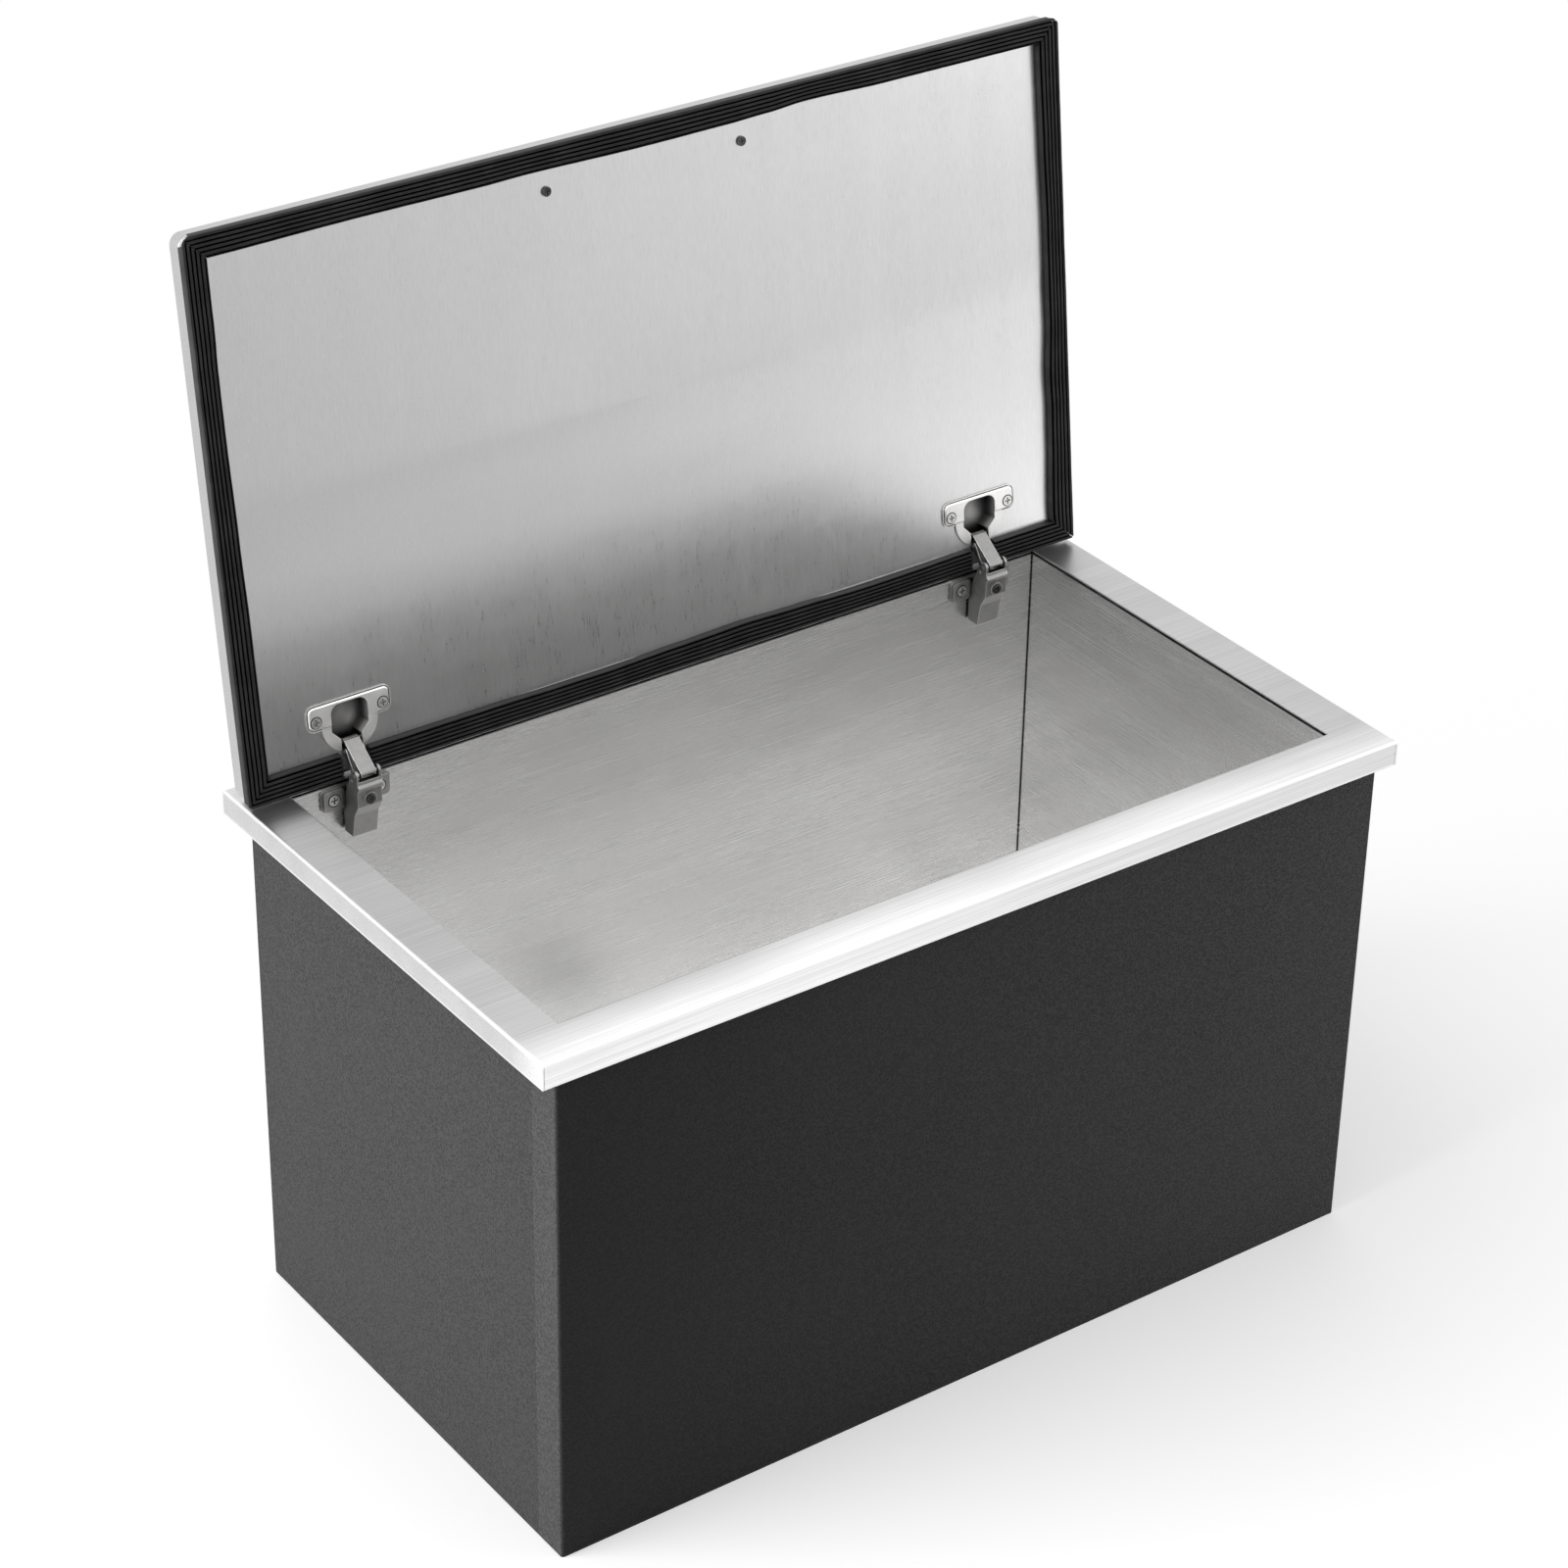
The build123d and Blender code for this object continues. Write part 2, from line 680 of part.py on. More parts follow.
def make_cup(x, name):
    with BuildPart() as cup:
        with BuildSketch(lid_at(gasket_thickness)):
            with Locations((x, wing_setback)):
                RectangleRounded(wing_width, wing_height, wing_radius)
        extrude(amount=wing_rise)
        chamfer(cup.faces().sort_by(lid_out)[-1].edges(), length=wing_bevel)
        with BuildSketch(lid_at(gasket_thickness)):
            with Locations((x, cup_setback)):
                Circle(cup_flange_radius)
        extrude(amount=cup_flange_height)
        extrude(mouth_sketch(x, gasket_thickness), amount=wing_rise + overrun, mode=Mode.SUBTRACT)
        with BuildSketch(lid_at(gasket_thickness + cup_depth)):
            with Locations((x, cup_setback)):
                Circle(cup_radius)
            nose_length = cup_setback - cup_nose_setback
            with Locations((x, cup_setback - nose_length / 2)):
                Rectangle(2 * cup_nose_half_width, nose_length)
        extrude(amount=cup_depth)
        with BuildSketch(lid_at(gasket_thickness + cup_depth - cup_wall)):
            with Locations((x, cup_setback)):
                Circle(cup_radius - cup_wall)
            throat_length = cup_setback - cup_nose_setback - cup_nose_wall
            with Locations((x, cup_setback - throat_length / 2)):
                Rectangle(2 * cup_throat_half, throat_length)
        extrude(amount=cup_depth - cup_wall, mode=Mode.SUBTRACT)
        with BuildSketch(lid_at(gasket_thickness + cup_nose_step)):
            with Locations((x, cup_setback - nose_length / 2)):
                Rectangle(2 * cup_throat_half, nose_length)
        extrude(amount=cup_nose_step, mode=Mode.SUBTRACT)
        with BuildSketch(lid_at(gasket_thickness - wing_rise)):
            with Locations((x, cup_screw_setback)):
                with GridLocations(cup_screw_spacing, 0, 2, 1):
                    Circle(cup_screw_recess_radius)
        extrude(amount=-cup_screw_recess_depth, mode=Mode.SUBTRACT)
        with BuildSketch(lid_at(gasket_thickness - wing_rise)):
            with Locations((x, cup_screw_setback)):
                with GridLocations(cup_screw_spacing, 0, 2, 1):
                    Circle(cup_screw_radius + panel_screw_gap)
        extrude(amount=-wing_rise, mode=Mode.SUBTRACT)
        with BuildSketch(lid_side(x)):
            with Locations((cup_pin_setback, cup_pin_depth)):
                Circle(cup_pin_radius)
        extrude(amount=cup_pin_reach, both=True, mode=Mode.SUBTRACT)
    save(cup, name)


# Half length of the cup's pin, which ends inside the cup's round wall
pin_across = cup_setback - cup_pin_setback + cup_pin_radius
cup_pin_reach = math.sqrt((cup_radius - cup_wall / 2) ** 2 - pin_across**2)


for side, name in ((-1, "hinge_cup_left"), (1, "hinge_cup_right")):
    make_cup(side * hinge_x, name)

with BuildPart() as cup_pins:
    for side in (-1, 1):
        with BuildSketch(lid_side(side * hinge_x)):
            with Locations((cup_pin_setback, cup_pin_depth)):
                Circle(cup_pin_radius)
        extrude(amount=cup_pin_reach, both=True)
save(cup_pins, "cup_pins")

with BuildPart() as cup_screws:
    for side in (-1, 1):
        for place in (-1, 1):
            seat = Plane(
                origin=lid_world(
                    side * hinge_x + place * cup_screw_spacing / 2,
                    cup_screw_setback,
                    gasket_thickness - wing_rise + cup_screw_recess_depth,
                ),
                x_dir=(1, 0, 0),
                z_dir=lid_face.z_dir,
            )
            add(
                drive_screw(
                    seat,
                    cup_screw_head_radius,
                    cup_screw_head_height,
                    cup_screw_radius,
                    cup_screw_length,
                )
            )
save(cup_screws, "cup_screws")


# Outer link: a strap folded down along both sides, with an eye at each end
cup_pin = lid_point(cup_pin_setback, cup_pin_depth)
arm_pin = (arm_pin_forward, arm_pin_lift)
strap_length = math.dist(cup_pin, arm_pin)


def make_strap(x, name):
    plane = link_plane(x, cup_pin, arm_pin)
    with BuildPart() as strap:
        with BuildSketch(plane):
            Circle(strap_cup_eye_radius)
            with Locations((strap_length, 0)):
                Circle(strap_arm_eye_radius)
            with BuildLine():
                Polyline(
                    (0, -strap_waist),
                    (strap_waist_end, -strap_waist),
                    (strap_length - strap_web_setback, -strap_arm_eye_radius),
                    (strap_length, -strap_arm_eye_radius),
                    (strap_length, strap_arm_eye_radius),
                    (strap_length - strap_web_setback, strap_rise),
                    (strap_web_start, strap_rise),
                    (0, strap_cup_eye_radius),
                    (0, -strap_waist),
                )
            make_face()
        extrude(amount=strap_width / 2, both=True)
        with BuildSketch(plane):
            with Locations((strap_length / 2, 0)):
                span = strap_length + 2 * strap_arm_eye_radius + overrun
                drop = 2 * strap_arm_eye_radius + overrun
                with Locations((0, strap_rise - strap_wall - drop / 2)):
                    Rectangle(span, drop)
        extrude(amount=strap_width / 2 - strap_wall, both=True, mode=Mode.SUBTRACT)
        with BuildSketch(plane):
            Circle(cup_pin_radius + pin_gap)
            with Locations((strap_length, 0)):
                Circle(arm_pin_radius + pin_gap)
        extrude(amount=strap_width, both=True, mode=Mode.SUBTRACT)
    save(strap, name)


for side, name in ((-1, "outer_link_left"), (1, "outer_link_right")):
    make_strap(side * hinge_x, name)


# Inner link: two plates beside the strap, joined by a sleeve on the arm's lower pin
inner_pin = (inner_pin_forward, inner_pin_lift)
inner_tip = (
    inner_pin_forward - inner_reach * math.cos(math.radians(inner_open_angle)),
    inner_pin_lift + inner_reach * math.sin(math.radians(inner_open_angle)),
)


def make_inner_link(x, name):
    plane = link_plane(x, inner_pin, inner_tip)
    with BuildPart() as link:
        with BuildSketch(plane):
            with Locations((inner_reach / 2, 0)):
                SlotCenterToCenter(inner_reach, 2 * inner_half_height)
            Circle(inner_sleeve_radius)
            with Locations((inner_reach, 0)):
                Circle(inner_eye_radius, mode=Mode.SUBTRACT)
        extrude(amount=inner_plate_x + inner_plate, both=True)
        with BuildSketch(plane):
            with Locations((inner_reach / 2, 0)):
                Rectangle(2 * inner_reach, 2 * inner_half_height + overrun)
            Circle(inner_sleeve_radius, mode=Mode.SUBTRACT)
        extrude(amount=inner_plate_x, both=True, mode=Mode.SUBTRACT)
        with BuildSketch(plane):
            Circle(inner_pin_radius + pin_gap)
        extrude(amount=strap_width, both=True, mode=Mode.SUBTRACT)
    save(link, name)


for side, name in ((-1, "inner_link_left"), (1, "inner_link_right")):
    make_inner_link(side * hinge_x, name)


# Hinge arm: a channel with two ears, stepped ridges and a boss on its face
def arm_outline(shift):
    """Side outline of the arm; shift moves the front face back for the hollow inside."""
    foot_back = margin_back + plate_thickness
    return [
        (foot_back, arm_foot_lift),
        (arm_foot_forward - shift, arm_foot_lift),
        (arm_knee_forward - shift, arm_knee_lift),
        (arm_face_forward - shift, arm_face_base_lift),
        (arm_hollow_forward - shift, arm_hollow_lift),
        (arm_ridge_forward - shift, arm_ridge_base_lift),
        (arm_ridge_forward - shift, arm_ridge_top_lift),
        (arm_step_forward - shift, arm_step_lift),
        (arm_brow_forward - shift, arm_top_step_lift),
        (arm_brow_forward - shift, arm_pin_lift),
        (arm_pin_forward, arm_pin_lift),
        (arm_back_forward, arm_nape_lift),
        (arm_back_forward, arm_shoulder_lift),
        (foot_back, arm_face_base_lift),
    ]


def make_arm(x, name):
    with BuildPart() as arm:
        with BuildSketch(rim_side(x)):
            Polygon(*arm_outline(0), align=None)
            with Locations((arm_pin_forward, arm_pin_lift)):
                Circle(arm_eye_radius)
            with BuildLine():
                Polyline(
                    (arm_back_forward, arm_nape_lift),
                    (arm_pin_forward - arm_eye_radius, arm_pin_lift),
                    (arm_pin_forward, arm_pin_lift),
                    (arm_back_forward, arm_nape_lift),
                )
            make_face()
        extrude(amount=arm_width / 2, both=True)
        boss = Plane(
            origin=(x, rim_back_y - arm_face_forward, total_height + arm_boss_lift),
            x_dir=(1, 0, 0),
            z_dir=(0, -1, 0),
        )
        with BuildSketch(boss):
            Circle(arm_boss_radius)
        extrude(amount=arm_boss_rise)
        chamfer(arm.faces().sort_by(Axis.Y)[0].edges(), length=arm_boss_rise / 2)
        with BuildSketch(rim_side(x)):
            Polygon(*hollow_outline(), align=None)
        extrude(amount=arm_inner_half, both=True, mode=Mode.SUBTRACT)
        with BuildSketch(rim_side(x)):
            with Locations((arm_pin_forward, arm_pin_lift)):
                Circle(arm_pin_radius)
            with Locations((inner_pin_forward, inner_pin_lift)):
                Circle(inner_pin_radius)
        extrude(amount=arm_width, both=True, mode=Mode.SUBTRACT)
        with BuildSketch(boss.offset(arm_boss_rise)):
            Circle(arm_screw_radius + pin_gap)
        extrude(amount=-arm_boss_rise - arm_wall - overrun, mode=Mode.SUBTRACT)
    save(arm, name)


def hollow_outline():
    """The channel's hollow: open at the back and above the ears, closed by the stepped face."""
    foot_back = margin_back
    return [
        (foot_back, arm_foot_lift - overrun),
        (arm_foot_forward - arm_wall, arm_foot_lift - overrun),
        (arm_foot_forward - arm_wall, arm_foot_lift),
        (arm_knee_forward - arm_wall, arm_knee_lift),
        (arm_face_forward - arm_wall, arm_face_base_lift),
        (arm_hollow_forward - arm_wall, arm_hollow_lift),
        (arm_ridge_forward - arm_wall, arm_ridge_base_lift),
        (arm_ridge_forward - arm_wall, arm_ridge_top_lift),
        (arm_step_forward - arm_wall, arm_step_lift),
        (arm_brow_forward - arm_wall, arm_top_step_lift),
        (arm_ridge_forward, arm_top_step_lift),
        (arm_ridge_forward, arm_pin_lift + arm_eye_radius + overrun),
        (foot_back, arm_pin_lift + arm_eye_radius + overrun),
    ]


for side, name in ((-1, "hinge_arm_left"), (1, "hinge_arm_right")):
    make_arm(side * hinge_x, name)

with BuildPart() as arm_pins:
    for side in (-1, 1):
        with BuildSketch(rim_side(side * hinge_x)):
            with Locations((arm_pin_forward, arm_pin_lift)):
                Circle(arm_pin_radius)
            with Locations((inner_pin_forward, inner_pin_lift)):
                Circle(inner_pin_radius)
        extrude(amount=arm_width / 2, both=True)
save(arm_pins, "arm_pins")

with BuildPart() as arm_screws:
    for side in (-1, 1):
        seat = Plane(
            origin=(side * hinge_x, rim_back_y - arm_face_forward - arm_boss_rise, total_height + arm_boss_lift),
            x_dir=(1, 0, 0),
            z_dir=(0, -1, 0),
        )
        reach = arm_face_forward + arm_boss_rise - margin_back - rail_rise
        add(drive_screw(seat, arm_screw_head_radius, arm_screw_head_height, arm_screw_radius, reach))
save(arm_screws, "arm_screws")


# Mounting plate: a base with a raised rail between two square pads
def make_plate(x, name):
    with BuildPart() as plate:
        with BuildSketch(wall_at(x, 0)):
            with Locations((0, plate_lift)):
                RectangleRounded(plate_width, plate_height, plate_radius)
        extrude(amount=plate_thickness)
        with BuildSketch(wall_at(x, 0)):
            with Locations((0, plate_lift)):
                with GridLocations(pad_spacing, 0, 2, 1):
                    RectangleRounded(pad_size, pad_size, pad_radius)
        extrude(amount=pad_rise)
        with BuildSketch(wall_at(x, 0)):
            rail_top = plate_lift + plate_height / 2
            rail_length = rail_top - arm_foot_lift
            with Locations((0, rail_top - rail_length / 2)):
                Rectangle(rail_width, rail_length)
        extrude(amount=rail_rise)
        with BuildSketch(wall_at(x, pad_rise)):
            with Locations((0, plate_lift)):
                with GridLocations(pad_spacing, 0, 2, 1):
                    Circle(pad_recess_radius)
        extrude(amount=-pad_recess_depth, mode=Mode.SUBTRACT)
        with BuildSketch(wall_at(x, pad_rise)):
            with Locations((0, plate_lift)):
                with GridLocations(pad_spacing, 0, 2, 1):
                    Circle(plate_screw_radius + fit_gap)
        extrude(amount=-pad_rise, mode=Mode.SUBTRACT)
    save(plate, name)


for side, name in ((-1, "mounting_plate_left"), (1, "mounting_plate_right")):
    make_plate(side * hinge_x, name)

with BuildPart() as plate_screws:
    for side in (-1, 1):
        for place in (-1, 1):
            seat_rise = pad_rise - pad_recess_depth
            seat = Plane(
                origin=(
                    side * hinge_x + place * pad_spacing / 2,
                    tub_back_y - seat_rise,
                    total_height + plate_lift,
                ),
                x_dir=(1, 0, 0),
                z_dir=(0, -1, 0),
            )
            add(
                drive_screw(
                    seat,
                    plate_screw_head_radius,
                    plate_screw_head_height,
                    plate_screw_radius,
                    plate_screw_length,
                )
            )
save(plate_screws, "plate_screws")
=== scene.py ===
import math

import bmesh
import bpy
from mathutils import Matrix, Vector
from mathutils.noise import noise


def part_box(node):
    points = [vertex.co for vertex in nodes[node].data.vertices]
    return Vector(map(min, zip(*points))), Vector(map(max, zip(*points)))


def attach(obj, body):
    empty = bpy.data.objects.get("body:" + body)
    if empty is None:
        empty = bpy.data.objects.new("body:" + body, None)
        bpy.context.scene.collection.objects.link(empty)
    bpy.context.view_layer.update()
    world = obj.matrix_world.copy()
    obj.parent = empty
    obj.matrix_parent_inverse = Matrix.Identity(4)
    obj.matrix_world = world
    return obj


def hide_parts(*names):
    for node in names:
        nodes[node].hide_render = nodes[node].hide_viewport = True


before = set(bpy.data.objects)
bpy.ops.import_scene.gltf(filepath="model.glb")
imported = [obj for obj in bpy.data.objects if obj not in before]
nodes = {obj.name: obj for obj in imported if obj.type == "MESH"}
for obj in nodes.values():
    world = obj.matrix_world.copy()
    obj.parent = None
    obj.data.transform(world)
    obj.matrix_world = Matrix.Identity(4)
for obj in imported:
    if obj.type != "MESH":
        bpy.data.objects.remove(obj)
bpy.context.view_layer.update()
scene = bpy.context.scene


# Camera at the photograph's angle
right = Vector((0.8133352, -0.5815899, 0.0154639))
up = Vector((0.2870481, 0.4242635, 0.8588387))
back = Vector((-0.5060526, -0.6940848, 0.5120127))
eye = Vector((-1.4108566, -1.8954975, 1.7660472))
camera_data = bpy.data.cameras.new("camera")
camera_data.sensor_fit = "HORIZONTAL"
camera_data.sensor_width = 36.0
camera_data.lens = 100.0403
camera_data.clip_start = 0.05
camera_data.clip_end = 60.0
camera = bpy.data.objects.new("camera", camera_data)
turn = Matrix((right, up, back)).transposed().to_4x4()
camera.matrix_world = Matrix.Translation(eye) @ turn
scene.collection.objects.link(camera)
scene.camera = camera


# Node graph helpers
class Graph:
    """A material's node tree, with short calls for the nodes used here."""

    def __init__(self, name):
        self.material = bpy.data.materials.new(name)
        self.material.use_nodes = True
        self.tree = self.material.node_tree
        self.tree.nodes.clear()
        self.shader = self.tree.nodes.new("ShaderNodeBsdfPrincipled")
        output = self.tree.nodes.new("ShaderNodeOutputMaterial")
        self.tree.links.new(self.shader.outputs["BSDF"], output.inputs["Surface"])

    def put(self, target, value):
        if hasattr(value, "links"):
            self.tree.links.new(value, target)
        else:
            target.default_value = value

    def place(self, scale=(1, 1, 1), offset=(0, 0, 0)):
        mapping = self.tree.nodes.new("ShaderNodeMapping")
        mapping.inputs["Scale"].default_value = scale
        mapping.inputs["Location"].default_value = offset
        self.tree.links.new(self.coords("Object"), mapping.inputs["Vector"])
        return mapping.outputs["Vector"]

    def noise(self, vector, scale, detail=2.0, rough=0.5, warp=0.0):
        node = self.tree.nodes.new("ShaderNodeTexNoise")
        node.inputs["Scale"].default_value = scale
        node.inputs["Detail"].default_value = detail
        node.inputs["Roughness"].default_value = rough
        node.inputs["Distortion"].default_value = warp
        self.tree.links.new(vector, node.inputs["Vector"])
        return node.outputs["Fac"]

    def cells(self, vector, scale, feature="F1"):
        node = self.tree.nodes.new("ShaderNodeTexVoronoi")
        node.feature = feature
        node.inputs["Scale"].default_value = scale
        self.tree.links.new(vector, node.inputs["Vector"])
        return node.outputs["Distance"]

    def span(self, value, low, high, to_low=0.0, to_high=1.0):
        node = self.tree.nodes.new("ShaderNodeMapRange")
        node.inputs["From Min"].default_value = low
        node.inputs["From Max"].default_value = high
        node.inputs["To Min"].default_value = to_low
        node.inputs["To Max"].default_value = to_high
        self.tree.links.new(value, node.inputs["Value"])
        return node.outputs["Result"]

    def math(self, operation, a, b):
        node = self.tree.nodes.new("ShaderNodeMath")
        node.operation = operation
        self.put(node.inputs[0], a)
        self.put(node.inputs[1], b)
        return node.outputs[0]

    def mix(self, factor, a, b):
        node = self.tree.nodes.new("ShaderNodeMix")
        node.data_type = "RGBA"
        self.put(node.inputs[0], factor)
        self.put(node.inputs[6], a)
        self.put(node.inputs[7], b)
        return node.outputs[2]

    def ramp(self, value, *stops):
        node = self.tree.nodes.new("ShaderNodeValToRGB")
        points = node.color_ramp.elements
        while len(points) < len(stops):
            points.new(0.5)
        for point, (place, colour) in zip(points, stops):
            point.position = place
            point.color = (*colour, 1) if len(colour) == 3 else colour
        self.tree.links.new(value, node.inputs["Fac"])
        return node.outputs["Color"]

    def along(self, vector, way):
        """How far a place lies along a direction."""
        node = self.tree.nodes.new("ShaderNodeVectorMath")
        node.operation = "DOT_PRODUCT"
        self.tree.links.new(vector, node.inputs[0])
        node.inputs[1].default_value = way
        return node.outputs["Value"]

    def split(self, vector):
        node = self.tree.nodes.new("ShaderNodeSeparateXYZ")
        self.tree.links.new(vector, node.inputs[0])
        return node.outputs

    def coords(self, kind):
        return self.tree.nodes.new("ShaderNodeTexCoord").outputs[kind]

    def bump(self, height, strength, distance, normal=None):
        node = self.tree.nodes.new("ShaderNodeBump")
        node.inputs["Strength"].default_value = strength
        node.inputs["Distance"].default_value = distance
        self.tree.links.new(height, node.inputs["Height"])
        if normal is not None:
            self.tree.links.new(normal, node.inputs["Normal"])
        return node.outputs["Normal"]

    def shade(self, distance):
        """How open a place is: 0 deep in a crease, 1 in the open."""
        node = self.tree.nodes.new("ShaderNodeAmbientOcclusion")
        node.samples = 4
        node.inputs["Distance"].default_value = distance
        return node.outputs["AO"]

    def box_edges(self, low, high, reach):
        """How near a place is to an edge of an upright box: 0 away from the edges, 1 on them."""
        parts = self.split(self.coords("Object"))
        near = []
        for axis in range(3):
            middle, half = (low[axis] + high[axis]) / 2, (high[axis] - low[axis]) / 2
            away = self.math("ABSOLUTE", self.math("SUBTRACT", parts[axis], middle), 0.0)
            near.append(self.span(away, half - reach, half))
        pairs = [self.math("MINIMUM", near[a], near[b]) for a, b in ((0, 1), (0, 2), (1, 2))]
        return self.math("MAXIMUM", pairs[0], self.math("MAXIMUM", pairs[1], pairs[2]))

    def rounded(self, radius):
        """The surface's normal with its edges rounded off."""
        bevel = self.tree.nodes.new("ShaderNodeBevel")
        bevel.samples = 4
        bevel.inputs["Radius"].default_value = radius
        return bevel.outputs["Normal"]

    def edges(self, radius):
        """How near an edge is: 0 on flat faces, more where the surface turns."""
        geometry = self.tree.nodes.new("ShaderNodeNewGeometry")
        dot = self.tree.nodes.new("ShaderNodeVectorMath")
        dot.operation = "DOT_PRODUCT"
        self.tree.links.new(self.rounded(radius), dot.inputs[0])
        self.tree.links.new(geometry.outputs["Normal"], dot.inputs[1])
        return self.span(dot.outputs["Value"], 1.0, 0.75)


def dress(material, *names):
    for name in names:
        mesh = nodes[name].data
        mesh.materials.clear()
        mesh.materials.append(material)


def rgb(grey, warm=0.0):
    return (grey * (1 + warm), grey, grey * (1 - warm), 1)


# Brushed stainless steel, its grain along one axis of the object or level on every wall
def brushed(
    name, grain, tone=0.62, rough=0.3, streak=0.035, tint=0.0, hair=0.25,
    box=None, painted_light_drift=(), spread=0.0, wave=0.0, bend=0.0, joint_and_shade=None,
):
    """grain is the axis of the brush lines, or None for level lines on every wall. box gets a painted highlight
    along its edges; the other box is dark along its edges, a dark joint and painted corner shade. Each gradient
    (x, y, z, start, end, low, high) is painted light and shade, scaling the tone from low to high between two
    places along a direction."""
    g = Graph(name)
    along = (0, 1) if grain is None else (grain,)
    fine = [6.0 if axis in along else 900.0 for axis in range(3)]
    broad = [1.2 if axis in along else 60.0 for axis in range(3)]
    lines = g.noise(g.place(fine), 1.0, 3, 0.65)
    bands = g.noise(g.place(broad, (3.1, 1.7, 5.3)), 1.0, 3, 0.6)
    cloud = g.noise(g.place((5, 5, 5), (0.7, 2.2, 1.1)), 1.0, 3, 0.55)
    coarse = g.math("ADD", g.math("MULTIPLY", bands, 0.2), g.math("MULTIPLY", cloud, 0.2))
    mixed = g.math("ADD", g.math("MULTIPLY", lines, 0.6), coarse)
    colour = g.ramp(
        mixed,
        (0.3, rgb(tone - streak, tint)),
        (0.5, rgb(tone, tint)),
        (0.7, rgb(tone + streak, tint)),
    )
    # Painted light and shade: each gradient scales the tone where the light falls brighter or dimmer
    for x, y, z, start, end, low, high in painted_light_drift:
        reached = g.math("ADD", g.along(g.place(), (x, y, z)), g.math("MULTIPLY", cloud, 0.05))
        share = g.span(reached, start, end)
        node = g.tree.nodes.new("ShaderNodeMix")
        node.data_type = "RGBA"
        node.blend_type = "MULTIPLY"
        node.inputs[0].default_value = 1.0
        g.put(node.inputs[6], colour)
        g.put(node.inputs[7], g.mix(share, rgb(low), rgb(high)))
        colour = node.outputs[2]
    g.shader.inputs["Metallic"].default_value = 1.0
    g.shader.inputs["Anisotropic"].default_value = spread
    base = g.span(mixed, 0.3, 0.7, rough - 0.05, rough + 0.05)
    # Painted highlight along the box's edges, which are also less rough there
    if box:
        near_edge = g.box_edges(*box, 0.002)
        base = g.math("ADD", base, g.math("MULTIPLY", near_edge, -0.08))
        colour = g.mix(near_edge, colour, rgb(0.97, tint))
    # Dark joint along the box's edges, widened into painted corner shade
    if joint_and_shade:
        corner = g.span(g.box_edges(*joint_and_shade, 0.0035), 0.25, 0.6)
        colour = g.mix(corner, colour, rgb(0.02))
    g.put(g.shader.inputs["Base Color"], colour)
    g.put(g.shader.inputs["Roughness"], base)
    normal = g.rounded(bend) if bend else None
    if wave:
        swell = g.noise(g.place((2.2, 2.2, 9.0), (1.3, 0.4, 2.6)), 1.0, 2, 0.45)
        normal = g.bump(swell, 1.0, wave, normal)
    g.put(g.shader.inputs["Normal"], g.bump(lines, hair, 0.00006, normal))
    return g.material


# The rim gets painted light and shade along y and x, and a painted highlight along its edges
steel_x = brushed(
    "steel_grain_x", 0, 0.86, 0.36, streak=0.2, box=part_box("rim_flange"), bend=0.0012,
    painted_light_drift=((0, 1, 0, -0.12, -0.15, 0.68, 1.0), (1, 0, 0, -0.1, 0.33, 1.02, 0.84)),
)
# The panel gets painted light, lighter towards its upper right and towards its lower part
panel_steel = brushed(
    "panel_steel", 2, 0.88, 0.3, streak=0.06, hair=0.06, spread=0.35, wave=0.001,
    painted_light_drift=((0.85, 0, 0.5, -0.05, 0.65, 0.54, 0.82), (0, 0, 1, 0.42, 0.58, 1.36, 0.96)),
)
pan_steel = brushed("pan_steel", 0, 0.54, 0.3, streak=0.07, bend=0.0008)
# The tub's box edges are darkened: a dark joint with painted corner shade
tub_steel = brushed(
    "tub_steel", None, 0.88, 0.26, tint=0.003, streak=0.035, hair=0.02, wave=0.0015, joint_and_shade=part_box("tub_liner"),
)
handle_steel = brushed("handle_steel", 0, 0.66, 0.26)
drain_metal = brushed("drain_metal", 0, 0.6, 0.32)
dress(steel_x, "rim_flange")
dress(panel_steel, "lid_inner_panel")
dress(pan_steel, "lid_pan")
dress(tub_steel, "tub_liner")
dress(handle_steel, "lid_handle")
dress(drain_metal, "drain_body", "drain_strainer", "drain_locknut")


# Nickel plate of the hinges and the plated screws
def plated(
    name, tone, rough, tint=0.01, reach=0.004, bend=0.0004, shine=0.14, dark=0.2, clear=0.8, deep=None,
):
    """shine is a painted highlight lightening the edges. Creases of a size reach get painted shade, between the
    opennesses dark and clear. deep (direction, start, end) paints shade, darkening the metal from one place to
    another along a direction."""
    g = Graph(name)
    spots = g.noise(g.place((400, 400, 400)), 1.0, 4, 0.6)
    cloud = g.noise(g.place((90, 90, 90), (2.0, 1.0, 0.4)), 1.0, 3, 0.5)
    mixed = g.math("ADD", g.math("MULTIPLY", spots, 0.5), g.math("MULTIPLY", cloud, 0.5))
    # Painted highlight on the edges
    near_edge = g.edges(0.0006)
    clean = g.ramp(mixed, (0.35, rgb(tone - 0.05, tint)), (0.65, rgb(tone + 0.03, tint)))
    bright = g.mix(near_edge, clean, rgb(min(tone + shine, 0.95), tint))
    # Painted shade in creases, near black where closed in
    unshaded = g.span(g.shade(reach), dark, clear)
    # Painted shade growing along a direction
    if deep:
        way, start, end = deep
        bright = g.mix(g.span(g.along(g.place(), way), start, end), bright, rgb(0.36, tint))
    g.put(g.shader.inputs["Base Color"], g.mix(unshaded, rgb(0.02), bright))
    g.shader.inputs["Metallic"].default_value = 1.0
    g.put(g.shader.inputs["Roughness"], g.span(mixed, 0.3, 0.7, rough - 0.05, rough + 0.08))
    g.put(g.shader.inputs["Normal"], g.bump(spots, 0.12, 0.00005, g.rounded(bend)))
    return g.material


